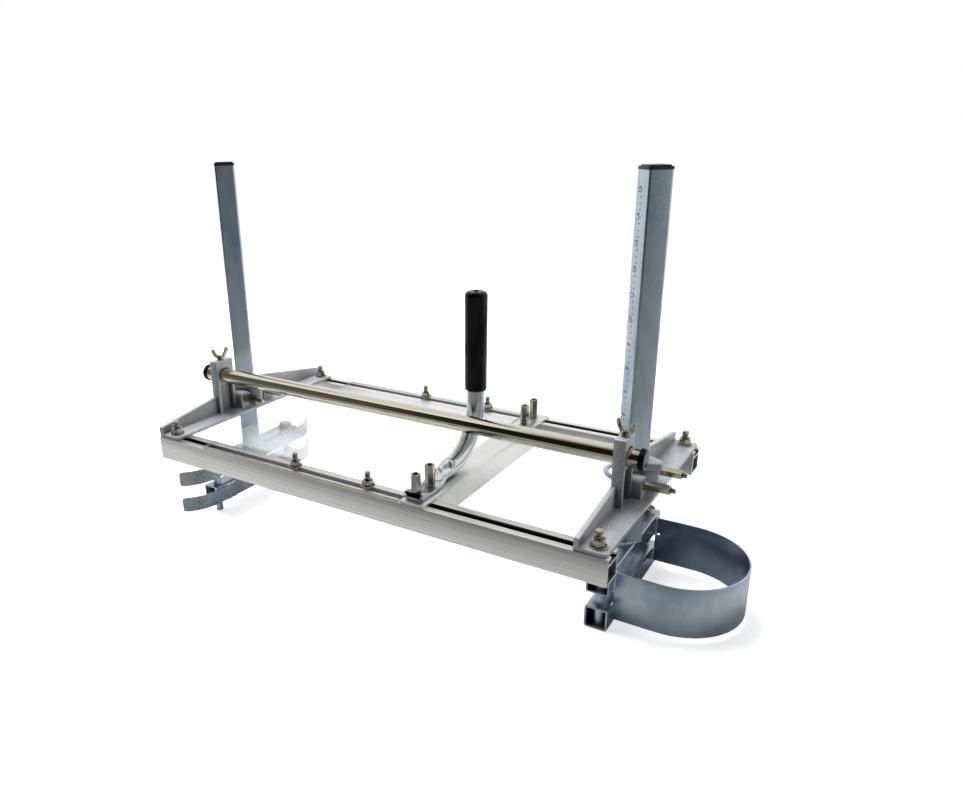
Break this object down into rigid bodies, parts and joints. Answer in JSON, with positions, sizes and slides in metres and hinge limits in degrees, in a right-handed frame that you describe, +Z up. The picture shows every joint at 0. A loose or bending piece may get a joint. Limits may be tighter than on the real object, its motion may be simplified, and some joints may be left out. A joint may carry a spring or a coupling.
{
  "type": "chainsaw mill",
  "caption": "Guide frame that clamps to a chainsaw bar for slabbing logs: slotted rails, brackets with square risers and jaws, push bar, bent handle, nose guard and clear sheet.",
  "frame": {"origin": "centre of the outline seen from above, at the lowest point, the ends of the left clamp bolts", "axes": "+X along the rails to the nose guard, +Y from the front rail with the push bar side to the rear rail, +Z up the risers"},
  "size_m": [0.7374, 0.319, 0.4784],
  "materials": {
    "extruded_aluminium": "satin extruded aluminium with fine lengthwise lines",
    "cast_aluminium": "fine sand-cast aluminium, unpainted",
    "zinc_steel": "bright zinc plating with a faint blue-grey mottle",
    "bright_steel": "polished nickel plating",
    "nickel_steel": "nickel-plated fasteners",
    "black_plastic": "moulded black plastic",
    "black_rubber": "smooth dipped black rubber",
    "clear_sheet": "clear polycarbonate with sawn edges"
  },
  "bodies": {
    "frame": {"front_rail": "extruded_aluminium", "rear_rail": "extruded_aluminium", "left_end_bracket": "cast_aluminium", "left_bracket_bolt_front": "nickel_steel", "left_bracket_bolt_rear": "nickel_steel", "left_bracket_nut_front": "nickel_steel", "left_bracket_nut_rear": "nickel_steel", "left_u_bolt": "nickel_steel", "left_u_bolt_nut_front": "nickel_steel", "left_u_bolt_nut_rear": "nickel_steel"},
    "guard": {"guard_sheet": "clear_sheet", "sheet_bolt_front_left": "nickel_steel", "sheet_nut_front_left": "nickel_steel", "sheet_bolt_rear_left": "nickel_steel", "sheet_nut_rear_left": "nickel_steel", "sheet_bolt_front_right": "nickel_steel", "sheet_nut_front_right": "nickel_steel", "sheet_bolt_rear_right": "nickel_steel", "sheet_nut_rear_right": "nickel_steel"},
    "right_end": {"right_end_bracket": "cast_aluminium", "right_bracket_bolt_front": "nickel_steel", "right_bracket_bolt_rear": "nickel_steel", "right_bracket_nut_front": "nickel_steel", "right_bracket_nut_rear": "nickel_steel", "right_u_bolt": "nickel_steel", "right_u_bolt_nut_front": "nickel_steel", "right_u_bolt_nut_rear": "nickel_steel"},
    "handle": {"crossbeam": "extruded_aluminium", "handle_tube": "zinc_steel", "handle_grip": "black_rubber", "beam_bolt_front_outer": "nickel_steel", "beam_nut_front_outer": "nickel_steel", "beam_bolt_front_inner": "nickel_steel", "beam_nut_front_inner": "nickel_steel", "beam_bolt_rear_inner": "nickel_steel", "beam_nut_rear_inner": "nickel_steel", "beam_bolt_rear_outer": "nickel_steel", "beam_nut_rear_outer": "nickel_steel"},
    "left_lift": {"left_riser": "zinc_steel", "left_riser_cap": "black_plastic", "left_upper_jaw_tube": "zinc_steel", "left_clamp_bolt_front": "zinc_steel", "left_clamp_bolt_rear": "zinc_steel", "upper_skid": "zinc_steel"},
    "right_lift": {"right_riser": "zinc_steel", "right_riser_cap": "black_plastic", "right_upper_jaw_tube": "zinc_steel", "right_clamp_bolt_front": "zinc_steel", "right_clamp_bolt_rear": "zinc_steel", "nose_guard": "zinc_steel"},
    "left_lower_jaw": {"left_lower_jaw_tube": "zinc_steel", "lower_skid": "zinc_steel"},
    "right_lower_jaw": {"right_lower_jaw_tube": "zinc_steel"},
    "push_bar": {"push_bar": "bright_steel", "push_bar_cap_left": "black_rubber", "push_bar_cap_right": "black_rubber"},
    "left_wing_screw": {"left_wing_screw": "nickel_steel"},
    "right_wing_screw": {"right_wing_screw": "nickel_steel"}
  },
  "joints": [
    {"name": "guard_slide", "type": "slide", "parent": "frame", "child": "guard", "axis": [1, 0, 0], "range_m": [-0.04, 0]},
    {"name": "right_end_slide", "type": "slide", "parent": "frame", "child": "right_end", "axis": [1, 0, 0], "range_m": [-0.14, 0]},
    {"name": "handle_slide", "type": "slide", "parent": "frame", "child": "handle", "axis": [1, 0, 0], "range_m": [0, 0.14]},
    {"name": "left_height", "type": "slide", "parent": "frame", "child": "left_lift", "axis": [0, 0, 1], "range_m": [-0.25, 0.05]},
    {"name": "right_height", "type": "slide", "parent": "right_end", "child": "right_lift", "axis": [0, 0, 1], "range_m": [-0.25, 0.05]},
    {"name": "left_jaw_close", "type": "slide", "parent": "left_lift", "child": "left_lower_jaw", "axis": [0, 0, 1], "range_m": [-0.01, 0.013]},
    {"name": "right_jaw_close", "type": "slide", "parent": "right_lift", "child": "right_lower_jaw", "axis": [0, 0, 1], "range_m": [0, 0.0165]},
    {"name": "push_bar_slide", "type": "slide", "parent": "frame", "child": "push_bar", "axis": [1, 0, 0], "range_m": [-0.009, 0.014]},
    {"name": "left_wing_turn", "type": "hinge", "parent": "frame", "child": "left_wing_screw", "pos_m": [-0.33355, -0.04675, 0.2194], "axis": [0, 0, 1], "range_deg": [0, 720]},
    {"name": "right_wing_turn", "type": "hinge", "parent": "right_end", "child": "right_wing_screw", "pos_m": [0.24145, -0.04675, 0.2194], "axis": [0, 0, 1], "range_deg": [0, 720]}
  ]
}
